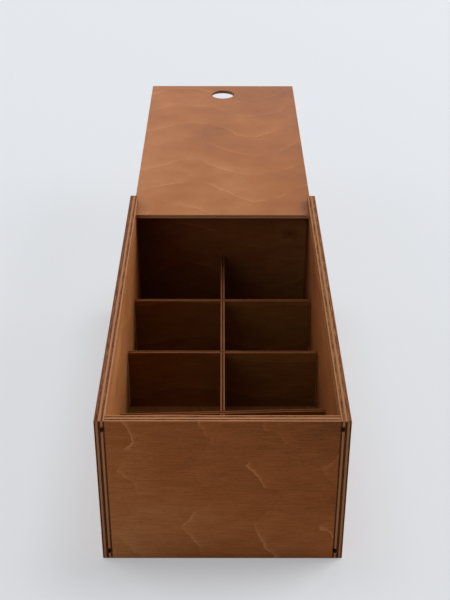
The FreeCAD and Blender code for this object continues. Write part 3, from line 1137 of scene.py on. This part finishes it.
@dataclass(frozen=True)
class Studio:
    """A pale paper floor, soft lamps and the camera."""

    lens: float = 66.7284  # focal length in mm
    film: float = 36.0  # long side of the film in mm
    eye: tuple[float, float, float] = (-0.000468, -0.804742, 0.496690)
    pitch: float = 0.536569  # how far the camera looks down
    yaw: float = 0.0031125  # how far it is turned towards +X
    roll: float = -0.0027283  # how far it leans to its right
    floor_reach: float = 12.0  # half the side of the floor
    fade: tuple[float, float] = (1.1, 2.4)  # where the paper fades into the room
    paper: str = "#E5E7EA"
    # How much of the floor's own shading the camera sees, shadows and all, beside the box and
    # away from it. The rest is an even glow.
    shading: tuple[float, float] = (0.56, 0.2)
    shadow_reach: float = 0.065  # how far from the box's foot its shadow is seen
    room: str = "#DFE2E6"  # colour of that glow, and of the room beyond the floor
    room_light: float = 0.06  # strength of the room's light on the box
    aim: tuple[float, float, float] = (0.0, 0.0, 0.05)  # what the lamps point at
    lamps: tuple[SoftBox, ...] = (
        SoftBox("window_side", azimuth=69.0, elevation=25.0, power=94.0),
        SoftBox("far_side", azimuth=290.0, elevation=22.0, power=38.0),
        SoftBox("far_side_above", azimuth=285.0, elevation=42.0, power=11.0),
        SoftBox("overhead", azimuth=0.0, elevation=88.0, power=6.0),
        SoftBox("behind", azimuth=0.0, elevation=28.0, power=20.0),
        SoftBox("over_the_shoulder", azimuth=215.0, elevation=20.0, power=9.6),
    )

    def camera(self) -> None:
        """Set up the camera."""
        data = bpy.data.cameras.new("camera")
        data.lens, data.sensor_width, data.sensor_height = self.lens, self.film, self.film
        data.sensor_fit = "AUTO"
        data.clip_start, data.clip_end = 0.01, 50.0
        camera = put("camera", data)
        camera.matrix_world = (
            Matrix.Translation(self.eye)
            @ Matrix.Rotation(-self.yaw, 4, "Z")
            @ Matrix.Rotation(math.pi / 2 - self.pitch, 4, "X")
            @ Matrix.Rotation(-self.roll, 4, "Z")
        )
        bpy.context.scene.camera = camera

    def seen(self, add: Adder) -> Socket:
        """Tell the rays that the camera sees, straight or in a gloss, from those that light things.

        Args:
            add: Adds a node to the floor or the world.

        Returns:
            1 on the seen rays.
        """
        rays = add("ShaderNodeLightPath").node.outputs
        either = rays["Is Camera Ray"]
        for other in ("Is Glossy Ray", "Is Transmission Ray"):
            either = add(MATH, (either, rays[other]), "MAXIMUM")
        return either

    def floor(self) -> None:
        """Lay the floor, a sheet of matt paper."""
        reach = self.floor_reach
        corners = [(x * reach, y * reach, 0.0) for x, y in ((-1, -1), (1, -1), (1, 1), (-1, 1))]
        mesh = bpy.data.meshes.new("floor")
        mesh.from_pydata(corners, [], [(0, 1, 2, 3)])
        material = bpy.data.materials.new("matt_paper")
        add = blank_tree(material)
        paper = {"Base Color": linear(self.paper), "Roughness": 0.9, "Specular IOR Level": 0.2}
        glow = add("ShaderNodeEmission", {"Color": linear(self.room), "Strength": 1.0})
        place = add("ShaderNodeTexCoord", output="Object")
        low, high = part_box("left_side")[0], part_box("right_side")[1]
        middle, half = (low + high) / 2, (high - low) / 2
        gap = place
        for step, by in (("SUBTRACT", middle), ("ABSOLUTE", half), ("SUBTRACT", half), ("MAXIMUM", Vector())):
            gap = add(VECTOR_MATH, (gap, (by.x, by.y, 0.0)), step)
        gap, out = (add(VECTOR_MATH, (away,), "LENGTH", "Value") for away in (gap, place))
        near, far = (1.0 - share for share in self.shading)
        even = add(RANGE, (gap, 0.0, self.shadow_reach, near, far), "SMOOTHSTEP")
        even = add(RANGE, (out, *self.fade, even, 1.0), "SMOOTHSTEP")
        share = add(MATH, (self.seen(add), even), "MULTIPLY")
        mixed = add("ShaderNodeMixShader", (share, add(SURFACE, paper), glow))
        add("ShaderNodeOutputMaterial", {"Surface": mixed})
        mesh.materials.append(material)
        floor = put("floor", mesh)

    def world(self) -> None:
        """Fill the room with faint light that the camera sees as pale paper."""
        world = bpy.data.worlds.new("room")
        add = blank_tree(world)
        strength = add(MIX, {0: self.seen(add), 2: self.room_light, 3: 1.0}, "FLOAT")
        glow = add("ShaderNodeBackground", {"Color": linear(self.room), "Strength": strength})
        add("ShaderNodeOutputWorld", {"Surface": glow})
        bpy.context.scene.world = world

    def build(self) -> None:
        """Set up the floor, the room, the lamps and the camera."""
        self.floor()
        self.world()
        for lamp in self.lamps:
            lamp.hang(self.aim)
        self.camera()
        bpy.context.scene.view_settings.view_transform = "Standard"


def save_sizes() -> None:
    """Update the view layer.
    """
    bpy.context.view_layer.update()


def main() -> None:
    """Build the box piece by piece, then the studio round it."""
    logging.basicConfig(level=logging.INFO, format="%(name)s: %(message)s")
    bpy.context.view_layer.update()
    sawn = SawnPlies()
    Carcass(sawn).build()
    SlidingLid(sawn).build()
    crate = EggCrate(sawn, CrossDividerRow())
    crate.bottom()
    crate.dividers()
    Studio().build()
    save_sizes()


if __name__ == "__main__":
    main()
